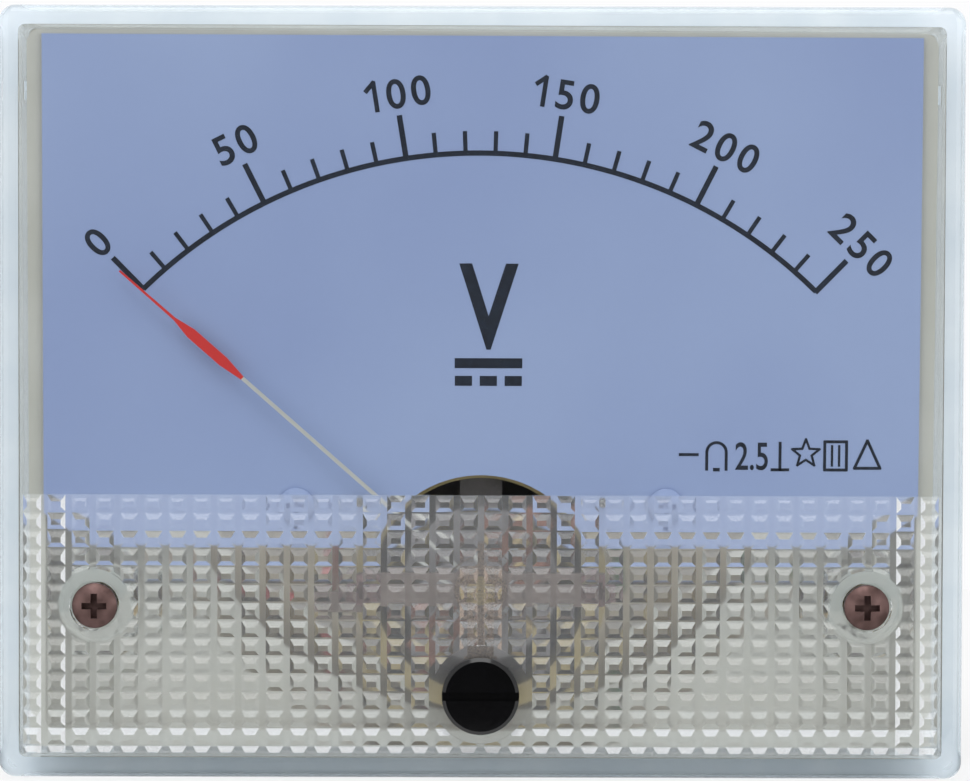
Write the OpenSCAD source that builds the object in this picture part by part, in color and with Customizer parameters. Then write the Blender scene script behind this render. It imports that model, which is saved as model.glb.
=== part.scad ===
// Moving-coil panel meter: an 80 x 64 mm front on a round case, all in millimetres.
// +Z is up and the dial faces -Y. The origin lies on the case's axis, in the plane of
// the panel, which is the back of the flange. The movement's pivot axis runs along Y.

/* [Front] */
// Width of the clear cover
front_w = 80; // [78:1:86]
// Height of the clear cover
front_h = 64; // [62:1:70]
// How far the clear cover stands out in front of the panel
front_depth = 14.5; // [14.5:0.5:16]
// Wall thickness of the clear cover
cover_wall = 1.6; // [1.4:0.1:1.8]
// Thickness of the clear window
window_t = 1.8; // [1.6:0.1:1.8]
// Radius of the cover's four upright corners
corner_r = 1.4; // [1.3:0.1:2.4]
// Distance between the two cover screws
screw_pitch = 64; // [63:0.5:66]
// Height of the cover screws below the case's axis
screw_drop = 17.7; // [17:0.1:19]
// Height of the zero adjuster below the case's axis
adjuster_drop = 25; // [24.8:0.1:25.2]

/* [Case] */
// Diameter of the round case that goes through the panel
case_d = 61; // [60.5:0.5:62]
// Length of the round case behind the panel
case_len = 42; // [40:1:50]
// Thickness of the case's flange
flange_t = 3; // [2.5:0.1:3.2]
// Distance between the panel studs, side to side
stud_pitch_x = 66; // [65:0.5:68]
// Distance between the panel studs, top to bottom
stud_pitch_z = 50; // [48:0.5:52]
// Length of the panel studs behind the panel
stud_len = 14; // [10:1:20]
// Distance between the two terminals
terminal_pitch = 28; // [26:1:30]

/* [Dial and movement] */
// Width of the dial plate
dial_w = 73.8; // [73.7:0.1:74]
// Height of the pivot axis below the case's axis
pivot_drop = 16.5; // [16.4:0.1:16.6]
// Angle between the pointer at zero and the upright
rest_angle = 48.9; // [45:0.1:50]
// Length of the pointer from the pivot axis to its tip
pointer_len = 40.3; // [36:0.1:41]

/* [Hidden] */
$fn = 96;
eps = 0.01;
fit = 0.05;

// Planes across the meter, by their distance in front of (-) or behind (+) the panel
front_y = -front_depth;
window_y = front_y + window_t;
cover_back_y = -flange_t;
dial_y = -7.9;
dial_t = 0.5;
tray_y = dial_y + dial_t;
boss_y = -8;
case_back_y = case_len;
case_floor_y = case_len - 3;

// Clear cover and tray
edge_r = 0.9;
inner_corner_r = 0.6;
screw_x = screw_pitch / 2;
screw_z = -screw_drop;
adjuster_z = -adjuster_drop;
cover_screw_r = 1;
screw_head_r = 1.87;
boss_r = 3.1;
tray_gap = 0.2;
tray_wall = 1.4;
tray_w = front_w - 2 * (cover_wall + tray_gap);
tray_h = front_h - 2 * (cover_wall + tray_gap);
nib = [-5.2, 25.1];

// Field of small blunt pyramids over the lower part of the window. A tooth is
// [low edge, low end of its flat, high end of its flat, high edge] about its middle
relief = 0.36;
column = [-0.74, -0.4, 0.4, 0.74];
column_pitch = 2.01;
columns = 38;
row = [-0.685, -0.31, 0.15, 0.685];
row_pitch = 1.49;
rows = 15;
field_x = 38.1;
field_top = -8.45;
field_bottom = -30;
screw_pad_r = 3.05;
adjuster_pad_r = 4.1;

// Round case
case_r = case_d / 2;
case_bore_r = case_r - 2.8;
stud_r = 1.5;
stud_root_r = 1.9;
stud_head_r = 2.5;
terminal_x = terminal_pitch / 2;
terminal_r = 2;
terminal_core_r = 1.8;
terminal_end_y = case_back_y + 18;
pad_y = case_back_y + 1;
washer_t = 0.8;
nut_h = 3.2;
nut_af = 7;
stack_end_y = pad_y + 2 * washer_t + 2 * nut_h + 1;
tag_z = 8.5;

// Dial
dial_top = front_h / 2 - cover_wall - 0.6;
dial_bottom = -13.1;
arch_r = 9.7;
arch_z = -16.8;
dial_post = [15.6, -9.7];
stop_r = 12.5;
stop_angle = 55;

// Movement, measured from its own pivot axis
pivot_z = -pivot_drop;
core_r = 6.6;
core_half = 5;
former_in = 7;
former_t = 0.25;
former_half_y = 5.5;
former_w = 3;
wire_w = 2.8;
coil_out = 8.4;
coil_half_y = 6.6;
yoke_in = 9.1;
yoke_out = 10.8;
yoke_front_y = -6.4;
yoke_back_y = 6;
bracket_y = 9.4;
bracket_t = 2;
bracket_post = [20, -5.5];
bridge_y = -11.6;
bridge_t = 1;
pillar_x = (yoke_in + yoke_out) / 2;
jewel_screw_r = 1.2;
front_jewel_y = -9.9;
rear_jewel_y = 9;
jewel_r = 0.7;
jewel_t = 0.75;
shaft_r = 0.35;
collar_r = 0.9;
arm_len = 6;

// Zero adjuster: an eccentric pin between the tines of the lever's fork
adjuster_r = 3.2;
adjuster_shank_r = 1.9;
crank = 1;
crank_pin_r = 0.45;
lever_y = -12.1;
lever_t = 0.4;
fork_gap = 2 * (crank_pin_r + 0.1);
spring_r = 3.3;
spring_turns = 3.25;
spring_strip = 0.1;

// A rectangle with round corners
module rounded(w, h, r) {
  square([w - 2 * r, h], center = true);
  square([w, h - 2 * r], center = true);
  for (x = [-1, 1], y = [-1, 1]) translate([x * (w / 2 - r), y * (h / 2 - r)]) circle(r);
}

// A bar with round ends from point a to point b
module bar(a, b, w) {
  straight(a, b, w);
  translate(a) circle(w / 2);
  translate(b) circle(w / 2);
}

// The same with square ends
module straight(a, b, w) {
  d = b - a;
  translate(a) rotate(atan2(d[1], d[0])) translate([0, -w / 2]) square([norm(d), w]);
}

// An outline drawn in X and Z, given its thickness from y0 to y1
module slab(y0, y1) {
  translate([0, y1, 0]) rotate([90, 0, 0]) linear_extrude(y1 - y0) children();
}

// A rod along Y at x and z
module rod(x, z, r, y0, y1) {
  translate([x, y1, z]) rotate([90, 0, 0]) cylinder(r = r, h = y1 - y0);
}

// A cone along Y, of radius r0 at y0 and r1 at y1
module cone(x, z, r0, r1, y0, y1) {
  translate([x, y1, z]) rotate([90, 0, 0]) cylinder(r1 = r1, r2 = r0, h = y1 - y0);
}

// A washer along Y
module washer(x, z, r_out, r_in, y0, y1) {
  difference() {
    rod(x, z, r_out, y0, y1);
    rod(x, z, r_in, y0 - 1, y1 + 1);
  }
}

// A hexagonal nut along Y with chamfered corners and a plain bore
module hex_nut(x, z, af, bore_r, y0, y1) {
  corner = af / sqrt(3);
  difference() {
    intersection() {
      translate([x, y1, z]) rotate([90, 0, 0]) cylinder(r = corner, h = y1 - y0, $fn = 6);
      union() {
        cone(x, z, af / 2 - 0.1, corner, y0, y0 + 0.5);
        rod(x, z, corner, y0 + 0.5, y1 - 0.5);
        cone(x, z, corner, af / 2 - 0.1, y1 - 0.5, y1);
      }
    }
    rod(x, z, bore_r, y0 - 1, y1 + 1);
  }
}

// A screw along Y: a domed head from y0 to y1 with a cross recess, and a plain shank to y2
module screw(x, z, head_r, shank_r, y0, y1, y2) {
  dome_r = 1.6 * head_r;
  difference() {
    intersection() {
      rod(x, z, head_r, y0, y1);
      translate([x, y0 + dome_r, z]) sphere(dome_r);
    }
    translate([x, y0, z]) {
      cube([head_r * 1.1, (y1 - y0) * 1.1, head_r * 0.28], center = true);
      cube([head_r * 0.28, (y1 - y0) * 1.1, head_r * 1.1], center = true);
    }
  }
  rod(x, z, shank_r, y1, y2);
}

// A lead along a list of points, with round bends
module lead(points, r) {
  for (i = [1:len(points) - 1]) {
    d = points[i] - points[i - 1];
    translate(points[i - 1]) rotate([0, acos(d[2] / norm(d)), atan2(d[1], d[0])])
      cylinder(r = r, h = norm(d), $fn = 24);
  }
  for (i = [1:len(points) - 2]) translate(points[i]) sphere(1.06 * r, $fn = 24);
}

// Places the pieces of the moving coil, drawn about the Y axis with the pointer upright
module at_rest() {
  translate([0, 0, pivot_z]) rotate([0, -rest_angle, 0]) children();
}

module cover_block() {
  depth = cover_back_y - front_y;
  intersection() {
    slab(front_y, cover_back_y) rounded(front_w, front_h, corner_r);
    translate([-front_w / 2, cover_back_y, 0]) rotate([90, 0, 90])
      linear_extrude(front_w) rounded(2 * depth, front_h, edge_r);
    translate([0, cover_back_y, -front_h / 2])
      linear_extrude(front_h) rounded(front_w, 2 * depth, edge_r);
  }
}

// A comb of n teeth side by side along X with their tips at the front, len long in Z
module comb(n, pitch, tooth, len) {
  deep = front_y + relief;
  half = n * pitch / 2;
  translate([0, 0, -len / 2]) linear_extrude(len) polygon(concat(
    [[-half - 0.5, window_y], [-half - 0.5, deep]],
    [for (i = [0:n - 1]) let (c = (i + 0.5) * pitch - half) each [
      [c + tooth[0], deep], [c + tooth[1], front_y], [c + tooth[2], front_y], [c + tooth[3], deep]]],
    [[half + 0.5, deep], [half + 0.5, window_y]]
  ));
}

// What is taken from the front between the pyramids, round the smooth pads
module field_cut() {
  mid_z = field_top - rows * row_pitch / 2;
  difference() {
    slab(front_y - 1, front_y + relief + 0.2)
      translate([-field_x, field_bottom]) square([2 * field_x, field_top - field_bottom]);
    intersection() {
      translate([0, 0, mid_z]) comb(columns, column_pitch, column, rows * row_pitch + 2);
      translate([0, 0, mid_z]) rotate([0, -90, 0]) comb(rows, row_pitch, row, 2 * field_x + 2);
    }
    for (s = [-1, 1]) rod(s * screw_x, screw_z, screw_pad_r, front_y - 2, window_y);
    rod(0, adjuster_z, adjuster_pad_r, front_y - 2, window_y);
  }
}

module front_cover() {
  color([0.86, 0.91, 0.95, 0.35]) difference() {
    union() {
      difference() {
        cover_block();
        slab(window_y, cover_back_y + 1) rounded(front_w - 2 * cover_wall, front_h - 2 * cover_wall, inner_corner_r);
      }
      for (s = [-1, 1]) {
        rod(s * screw_x, screw_z, boss_r, window_y - 0.5, boss_y);
        translate([s * (tray_w / 2 + tray_gap), nib[0], nib[1]]) rotate([0, 0, 45])
          cube([0.7, 0.7, 1.6], center = true);
      }
    }
    for (s = [-1, 1]) {
      rod(s * screw_x, screw_z, cover_screw_r + 0.15, front_y - 1, boss_y + 1);
      rod(s * screw_x, screw_z, screw_head_r + 0.2, front_y - 1, front_y + 0.9);
    }
    rod(0, adjuster_z, adjuster_shank_r + fit, front_y - 1, window_y + 1);
    field_cut();
  }
}

module cover_screws() {
  color([0.47, 0.33, 0.31])
    for (s = [-1, 1]) screw(s * screw_x, screw_z, screw_head_r, cover_screw_r, front_y - 0.5, front_y + 0.9, -2.2);
}

module screw_inserts() {
  color([0.8, 0.66, 0.35])
    for (s = [-1, 1]) washer(s * screw_x, screw_z, 1.6, cover_screw_r + 0.02, boss_y, -1.6);
}

module rear_case() {
  color([0.87, 0.85, 0.75]) difference() {
    union() {
      difference() {
        union() {
          slab(-flange_t, 0) rounded(front_w - 0.6, front_h - 0.6, corner_r);
          slab(tray_y, -flange_t + eps) rounded(tray_w, tray_h, 1.2);
          rod(0, 0, case_r, -1, case_back_y - 1);
          cone(0, 0, case_r, case_r - 1, case_back_y - 1, case_back_y);
        }
        slab(tray_y - 1, -flange_t) rounded(tray_w - 2 * tray_wall, tray_h - 2 * tray_wall, 1);
        rod(0, 0, case_bore_r, -flange_t - 1, case_floor_y);
      }
      for (s = [-1, 1]) {
        rod(s * screw_x, screw_z, boss_r + 0.1, boss_y, -flange_t + eps);
        rod(s * terminal_x, 0, 6.5, case_back_y - 1, pad_y);
        rod(s * bracket_post[0], bracket_post[1], 3.2, bracket_y + bracket_t, case_floor_y + eps);
        translate([s * bracket_post[0], 0, bracket_post[1]]) rotate([0, s < 0 ? 180 : 0, 0])
          translate([0, bracket_y + bracket_t + 4, -0.8]) cube([8.2, case_floor_y - bracket_y - 6 + eps, 1.6]);
      }
    }
    for (s = [-1, 1]) {
      rod(s * screw_x, screw_z, 1.6, boss_y - 1, -1.4);
      rod(s * terminal_x, 0, terminal_r + fit, case_floor_y - 1, pad_y + 1);
      rod(s * bracket_post[0], bracket_post[1], 1.22, bracket_y, 24);
      translate([s * (tray_w / 2 + tray_gap), nib[0], nib[1]]) rotate([0, 0, 45])
        cube([0.9, 0.9, 2.2], center = true);
    }
    for (x = [-1, 1], z = [-1, 1]) translate([x * stud_pitch_x / 2, 0, z * stud_pitch_z / 2]) {
      rod(0, 0, stud_root_r, -1, 1);
      rod(0, 0, stud_head_r, -2.2, -0.9);
    }
  }
}

module panel_studs() {
  color([0.72, 0.72, 0.7])
    for (x = [-1, 1], z = [-1, 1]) translate([x * stud_pitch_x / 2, 0, z * stud_pitch_z / 2]) {
      rod(0, 0, stud_head_r, -2.2, -0.9);
      rod(0, 0, stud_root_r, -0.9, 0);
      rod(0, 0, stud_r, 0, stud_len - 0.4);
      cone(0, 0, stud_r, stud_r - 0.4, stud_len - 0.4, stud_len);
    }
}

module terminal_studs() {
  color([0.78, 0.68, 0.4])
    for (s = [-1, 1]) {
      translate([s * terminal_x, case_floor_y - 0.4, 0]) rotate([90, 0, 0])
        cylinder(r = nut_af / sqrt(3), h = 2, $fn = 6);
      rod(s * terminal_x, 0, terminal_core_r, case_floor_y - 0.4, stack_end_y);
      rod(s * terminal_x, 0, terminal_r, stack_end_y, terminal_end_y - 0.5);
      cone(s * terminal_x, 0, terminal_r, terminal_r - 0.5, terminal_end_y - 0.5, terminal_end_y);
    }
}

module terminal_tags() {
  color([0.82, 0.8, 0.72])
    for (s = [-1, 1]) difference() {
      slab(case_floor_y - 0.4, case_floor_y) {
        translate([s * terminal_x, 0]) circle(4.4);
        bar([s * terminal_x, 0], [s * terminal_x, tag_z], 3);
      }
      rod(s * terminal_x, 0, terminal_r + fit, case_floor_y - 2, case_floor_y + 1);
      rod(s * terminal_x, tag_z, 0.7, case_floor_y - 2, case_floor_y + 1);
    }
}

module terminal_washers() {
  color([0.8, 0.8, 0.78])
    for (s = [-1, 1], y = [pad_y, pad_y + washer_t + nut_h])
      washer(s * terminal_x, 0, 4.5, terminal_r + 0.15, y, y + washer_t);
}

module terminal_spring_washers() {
  y = pad_y + 2 * washer_t + nut_h;
  color([0.5, 0.5, 0.52])
    for (s = [-1, 1]) difference() {
      washer(s * terminal_x, 0, 3.5, terminal_r + 0.1, y, y + 1);
      translate([s * terminal_x, y - 1, 1.5]) cube([0.5, 3, 3]);
    }
}

module terminal_nuts() {
  color([0.82, 0.72, 0.42])
    for (s = [-1, 1], y = [pad_y + washer_t, pad_y + 2 * washer_t + nut_h + 1])
      hex_nut(s * terminal_x, 0, nut_af, terminal_core_r + 0.03, y, y + nut_h);
}

module dial_plate() {
  half = dial_w / 2;
  color([0.53, 0.61, 0.77]) difference() {
    slab(dial_y, tray_y) difference() {
      polygon([
        [-half, dial_top], [half, dial_top], [half, dial_bottom + 2.7], [half - 4, dial_bottom],
        [4 - half, dial_bottom], [-half, dial_bottom + 2.7]
      ]);
      translate([0, arch_z]) circle(arch_r);
    }
    for (s = [-1, 1]) {
      rod(s * dial_post[0], dial_post[1], 0.9, dial_y - 1, tray_y + 1);
      translate([0, 0, pivot_z]) rotate([0, s * stop_angle, 0]) rod(0, stop_r, 0.4, dial_y - 1, tray_y + 1);
    }
  }
}

module dial_posts() {
  color([0.8, 0.68, 0.38])
    for (s = [-1, 1]) {
      difference() {
        rod(s * dial_post[0], dial_post[1], 2, tray_y, bracket_y);
        rod(s * dial_post[0], dial_post[1], 0.82, tray_y - 1, 0);
      }
      rod(s * dial_post[0], dial_post[1], 1, bracket_y, bracket_y + bracket_t + 0.3);
    }
}

module dial_screws() {
  color([0.75, 0.75, 0.74])
    for (s = [-1, 1]) screw(s * dial_post[0], dial_post[1], 1.5, 0.8, dial_y - 0.8, dial_y, -1);
}

module pointer_stops() {
  color([0.75, 0.75, 0.74])
    for (s = [-1, 1]) translate([0, 0, pivot_z]) rotate([0, s * stop_angle, 0]) rod(0, stop_r, 0.4, dial_y - 1.6, tray_y);
}

module yoke_ring() {
  color([0.76, 0.62, 0.28]) washer(0, pivot_z, yoke_out, yoke_in, yoke_front_y, yoke_back_y);
}

module core_magnet() {
  color([0.32, 0.32, 0.34]) rod(0, pivot_z, core_r, -core_half, core_half);
}

module movement_bracket() {
  back = bracket_y + bracket_t;
  pivot = [0, pivot_z];
  color([0.72, 0.73, 0.74]) difference() {
    union() {
      slab(bracket_y, back) {
        translate(pivot) circle(yoke_out);
        for (s = [-1, 1]) {
          straight(pivot, [s * bracket_post[0], bracket_post[1]], 5.6);
          translate([s * bracket_post[0], bracket_post[1]]) circle(3.2);
          translate([s * dial_post[0], dial_post[1]]) circle(3);
        }
      }
      washer(0, pivot_z, yoke_out, yoke_in, yoke_back_y, bracket_y + eps);
      intersection() {
        washer(0, pivot_z, yoke_in, core_r, -core_half, bracket_y + eps);
        translate([-1.8, -core_half, pivot_z - yoke_in]) cube([3.6, 20, 2 * yoke_in]);
      }
      rod(0, pivot_z, 2.8, back - eps, back + 1.2);
    }
    rod(0, pivot_z, jewel_screw_r + 0.02, 0, back + 2);
    for (s = [-1, 1]) {
      rod(s * dial_post[0], dial_post[1], 1.02, bracket_y - 1, back + 1);
      rod(s * bracket_post[0], bracket_post[1], 1.3, bracket_y - 1, back + 1);
    }
  }
}

module movement_screws() {
  color([0.75, 0.75, 0.74])
    for (s = [-1, 1]) screw(s * bracket_post[0], bracket_post[1], 2.3, 1.2, bracket_y - 1.6, bracket_y, 22);
}

module front_bridge() {
  color([0.79, 0.68, 0.4]) difference() {
    slab(bridge_y, bridge_y + bridge_t) {
      bar([-pillar_x, pivot_z], [pillar_x, pivot_z], 2.8);
      translate([0, pivot_z]) circle(2.5);
      translate([-13.8, pivot_z - 1.9]) square([3.9, 1.7]);
    }
    rod(0, pivot_z, jewel_screw_r + 0.02, bridge_y - 1, bridge_y + 2);
    for (s = [-1, 1]) rod(s * pillar_x, pivot_z, 0.55, bridge_y - 1, bridge_y + 2);
  }
}

module bridge_pillars() {
  color([0.9, 0.88, 0.8])
    for (s = [-1, 1]) washer(s * pillar_x, pivot_z, 0.95, 0.52, bridge_y + bridge_t, yoke_front_y);
}

module bridge_screws() {
  color([0.75, 0.75, 0.74])
    for (s = [-1, 1]) screw(s * pillar_x, pivot_z, 1.3, 0.5, bridge_y - 0.7, bridge_y, yoke_front_y - 0.2);
}

module front_jewel_screw() {
  slot_y = window_y + 0.2;
  color([0.78, 0.66, 0.36]) difference() {
    rod(0, pivot_z, jewel_screw_r, slot_y, front_jewel_y);
    translate([0, slot_y, pivot_z]) cube([3, 0.8, 0.4], center = true);
    rod(0, pivot_z, jewel_r, front_jewel_y - jewel_t, front_jewel_y + 1);
  }
}

module rear_jewel_screw() {
  slot_y = bracket_y + bracket_t + 3.4;
  color([0.78, 0.66, 0.36]) difference() {
    rod(0, pivot_z, jewel_screw_r, rear_jewel_y, slot_y);
    translate([0, slot_y, pivot_z]) cube([3, 0.8, 0.4], center = true);
    rod(0, pivot_z, jewel_r, rear_jewel_y - 1, rear_jewel_y + jewel_t);
  }
}

module pivot_jewels() {
  color([0.75, 0.2, 0.3]) {
    difference() {
      rod(0, pivot_z, jewel_r, front_jewel_y - jewel_t, front_jewel_y);
      cone(0, pivot_z, 0.02, 0.5, front_jewel_y - 0.5, front_jewel_y);
    }
    difference() {
      rod(0, pivot_z, jewel_r, rear_jewel_y, rear_jewel_y + jewel_t);
      cone(0, pivot_z, 0.5, 0.02, rear_jewel_y, rear_jewel_y + 0.5);
    }
  }
}

module rear_lock_nut() {
  y = bracket_y + bracket_t + 1.2;
  color([0.78, 0.66, 0.36]) hex_nut(0, pivot_z, 4.4, jewel_screw_r + 0.02, y, y + 1.4);
}

module rear_spring_tag() {
  color([0.85, 0.75, 0.5]) slab(7.6, bracket_y) translate([0, pivot_z + spring_r + 0.25]) square([0.8, 0.5], center = true);
}

module coil_loop(r_in, y_in, r_out, y_out, w) {
  difference() {
    cube([2 * r_out, 2 * y_out, w], center = true);
    cube([2 * r_in, 2 * y_in, w + 1], center = true);
  }
}

module coil_former() {
  color([0.8, 0.81, 0.82]) at_rest()
    coil_loop(former_in, former_half_y, former_in + former_t, former_half_y + former_t, former_w);
}

module coil_winding() {
  corner = coil_out - former_in - former_t;
  color([0.66, 0.36, 0.2]) at_rest() difference() {
    linear_extrude(wire_w, center = true) rounded(2 * coil_out, 2 * coil_half_y, corner);
    cube([2 * (former_in + former_t), 2 * (former_half_y + former_t), wire_w + 1], center = true);
  }
}

module front_pivot() {
  color([0.7, 0.7, 0.72]) {
    rod(0, pivot_z, 1.6, -coil_half_y - 0.25, -coil_half_y);
    rod(0, pivot_z, shaft_r, front_jewel_y, -coil_half_y - 0.25);
    rod(0, pivot_z, collar_r, -9.75, -9.25);
    cone(0, pivot_z, 0.05, shaft_r, front_jewel_y - 0.3, front_jewel_y);
  }
}

module rear_pivot() {
  color([0.7, 0.7, 0.72]) {
    rod(0, pivot_z, 1.6, coil_half_y, coil_half_y + 0.25);
    rod(0, pivot_z, shaft_r, coil_half_y + 0.25, rear_jewel_y);
    rod(0, pivot_z, collar_r, 7.7, 8.3);
    cone(0, pivot_z, shaft_r, 0.05, rear_jewel_y, rear_jewel_y + 0.3);
  }
}

module pointer() {
  blade = 0.44;
  color([0.82, 0.16, 0.15]) at_rest() {
    slab(-9.1, -8.9) polygon([
      [-0.16, 0.6], [-0.16, 26.7], [-blade, 28.8], [-blade, 32.4], [-0.12, 34.2], [-0.08, pointer_len],
      [0.08, pointer_len], [0.12, 34.2], [blade, 32.4], [blade, 28.8], [0.16, 26.7], [0.16, 0.6]
    ]);
    washer(0, 0, collar_r, shaft_r, -9.25, -8.75);
  }
}

module balance_cross() {
  color([0.8, 0.81, 0.82]) at_rest() {
    washer(0, 0, collar_r, shaft_r, -8.75, -8.35);
    for (a = [-90, 90, 180]) rotate([0, a, 0]) slab(-8.7, -8.4) translate([0, arm_len / 2 + 0.3])
      square([0.5, arm_len - 0.6], center = true);
  }
}

module balance_weights() {
  color([0.75, 0.62, 0.32]) at_rest()
    for (a = [-90, 90, 180]) rotate([0, a, 0]) translate([0, -8.55, a == 180 ? 4 : 4.6]) difference() {
      cylinder(r = 0.75, h = a == 180 ? 1.8 : 1);
      translate([0, 0, -1]) cylinder(r = 0.31, h = 4);
    }
}

// A flat strip wound from the collar out to radius spring_r, ending upright above the pivot
function spiral(r_add) = [
  for (i = [0:6 * ceil(4 * spring_turns)])
    let (t = i / (6 * ceil(4 * spring_turns)), a = 83 - 360 * spring_turns * (1 - t))
      (collar_r + (spring_r - collar_r) * t + r_add) * [cos(a), sin(a)]
];

module hairspring(y0, y1) {
  outer = spiral(spring_strip);
  inner = spiral(0);
  slab(y0, y1) translate([0, pivot_z])
    polygon(concat(outer, [for (i = [len(inner) - 1:-1:0]) inner[i]]));
}

module front_hairspring() {
  color([0.85, 0.72, 0.4]) hairspring(-9.7, -9.4);
}

module rear_hairspring() {
  color([0.85, 0.72, 0.4]) hairspring(7.85, 8.15);
}

module zero_adjuster() {
  color([0.06, 0.06, 0.07]) difference() {
    union() {
      rod(0, adjuster_z, adjuster_r, front_y - 1.2, front_y - 0.02);
      cone(0, adjuster_z, adjuster_r - 0.3, adjuster_r, front_y - 1.5, front_y - 1.2);
      rod(0, adjuster_z, adjuster_shank_r, front_y - 1, window_y + 0.05);
      rod(0, adjuster_z, 1.5, window_y, window_y + 0.4);
      rod(0, adjuster_z + crank, crank_pin_r, window_y, window_y + 1.4);
    }
    translate([0, front_y - 1.5, adjuster_z]) cube([2 * adjuster_r + 1, 1.2, 0.7], center = true);
  }
}

module adjuster_clip() {
  color([0.2, 0.2, 0.21]) washer(0, adjuster_z, 2.7, 1.5, window_y + 0.05, window_y + 0.4);
}

module zero_lever() {
  fork_z = adjuster_z + crank;
  color([0.82, 0.74, 0.5]) {
    difference() {
      slab(lever_y, lever_y + lever_t) {
        translate([0, pivot_z]) circle(2.2);
        bar([0, pivot_z], [0, fork_z + 2], 2.2);
        translate([0, pivot_z + 2.2]) square([0.9, 3.4], center = true);
        translate([0, fork_z + 0.5]) square([fork_gap + 1.6, 3], center = true);
      }
      rod(0, pivot_z, jewel_screw_r + fit, lever_y - 1, lever_y + 1);
      slab(lever_y - 1, lever_y + 1) translate([0, fork_z - 0.5]) square([fork_gap, 3], center = true);
    }
    slab(lever_y + lever_t - eps, -9.4) translate([0, pivot_z + spring_r + 0.35]) square([0.8, 0.5], center = true);
  }
}

module series_resistor() {
  color([0.75, 0.62, 0.45]) translate([0, 26, 14]) rotate([0, 90, 0]) {
    cylinder(r = 2.2, h = 8, center = true);
    for (s = [-1, 1]) translate([0, 0, s * 4.4]) cylinder(r = 2.5, h = 2, center = true);
    cylinder(r = 0.35, h = 18, center = true);
  }
}

module supply_lead() {
  color([0.85, 0.85, 0.82])
    lead([[-terminal_x, case_floor_y - 1, tag_z], [-terminal_x, 30, tag_z + 2], [-9.3, 26, 14]], 0.4);
}

module red_lead() {
  color([0.75, 0.12, 0.1])
    lead([[9.6, 26, 14], [8, 20, 8], [-8, 18, 2], [-13, 16, -12], [-13, 12, pivot_z - 1.1],
      [-13, bridge_y + bridge_t, pivot_z - 1.1]], 0.5);
}

module green_lead() {
  color([0.1, 0.45, 0.2])
    lead([[terminal_x, case_floor_y - 1, tag_z], [12, 34, 10], [12.6, 20, -17], [12.4, 9, -18], [12, 8.2, -14.4]], 0.5);
}

front_cover();
cover_screws();
screw_inserts();
rear_case();
panel_studs();
terminal_studs();
terminal_tags();
terminal_washers();
terminal_spring_washers();
terminal_nuts();
dial_plate();
dial_posts();
dial_screws();
pointer_stops();
yoke_ring();
core_magnet();
movement_bracket();
movement_screws();
front_bridge();
bridge_pillars();
bridge_screws();
front_jewel_screw();
rear_jewel_screw();
pivot_jewels();
rear_lock_nut();
rear_spring_tag();
coil_former();
coil_winding();
front_pivot();
rear_pivot();
pointer();
balance_cross();
balance_weights();
front_hairspring();
rear_hairspring();
zero_adjuster();
adjuster_clip();
zero_lever();
series_resistor();
supply_lead();
red_lead();
green_lead();
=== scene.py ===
import bpy
import bmesh
from math import radians, degrees, sin, cos, pi, sqrt, hypot, atan2
from mathutils import Matrix, Vector


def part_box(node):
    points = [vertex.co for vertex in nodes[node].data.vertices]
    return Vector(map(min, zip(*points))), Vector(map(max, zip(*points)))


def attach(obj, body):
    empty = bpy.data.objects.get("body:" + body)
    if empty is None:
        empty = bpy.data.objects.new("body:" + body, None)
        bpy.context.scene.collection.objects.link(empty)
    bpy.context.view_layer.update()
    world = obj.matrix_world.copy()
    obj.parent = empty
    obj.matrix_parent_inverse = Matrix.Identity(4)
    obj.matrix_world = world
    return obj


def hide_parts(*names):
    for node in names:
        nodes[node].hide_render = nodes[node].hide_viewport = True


mm = 0.001  # every size below is in millimetres, and Blender works in metres
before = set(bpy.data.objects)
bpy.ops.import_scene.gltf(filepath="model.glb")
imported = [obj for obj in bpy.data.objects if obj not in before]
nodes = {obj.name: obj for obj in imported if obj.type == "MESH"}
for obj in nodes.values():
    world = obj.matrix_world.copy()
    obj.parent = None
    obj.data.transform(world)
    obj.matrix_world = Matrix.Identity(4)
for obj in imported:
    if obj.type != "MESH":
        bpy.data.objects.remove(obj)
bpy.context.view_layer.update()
print("frame loaded:", len(nodes), "nodes")


# Small tools

def only(*objs):  # select these and nothing else
    bpy.ops.object.select_all(action="DESELECT")
    for obj in objs:
        obj.select_set(True)
    bpy.context.view_layer.objects.active = objs[-1]


def name(obj, title):
    obj.name = title
    obj.data.name = title
    return obj


def settle(obj):  # size, turn and place go into the mesh
    only(obj)
    bpy.ops.object.transform_apply(location=True, rotation=True, scale=True)
    return obj


def useModifier(obj, kind, **settings):
    only(obj)
    modifier = obj.modifiers.new(kind.lower(), kind)
    for key, value in settings.items():
        setattr(modifier, key, value)
    bpy.ops.object.modifier_apply(modifier=modifier.name)
    return obj


def edit(obj, mode="FACE"):  # open obj for editing with nothing selected
    only(obj)
    bpy.ops.object.mode_set(mode="EDIT")
    bpy.ops.mesh.select_mode(type=mode)
    bpy.ops.mesh.select_all(action="DESELECT")


def pick(obj, test, kind="faces"):  # select what passes the test, by centre and normal in mm
    mesh = bmesh.from_edit_mesh(obj.data)
    for item in getattr(mesh, kind):
        if kind == "faces":
            item.select = test(item.calc_center_median() / mm, item.normal)
        elif kind == "edges":
            ends = [v.co / mm for v in item.verts]
            item.select = test(*ends)
        else:
            item.select = test(item.co / mm)
    mesh.select_flush_mode()
    bmesh.update_edit_mesh(obj.data)


def done():
    bpy.ops.object.mode_set(mode="OBJECT")


def addBox(x0, x1, y0, y1, z0, z1):
    bpy.ops.mesh.primitive_cube_add(
        size=1, location=((x0 + x1) / 2 * mm, (y0 + y1) / 2 * mm, (z0 + z1) / 2 * mm))
    obj = bpy.context.object
    obj.scale = ((x1 - x0) * mm, (y1 - y0) * mm, (z1 - z0) * mm)
    return settle(obj)


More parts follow.
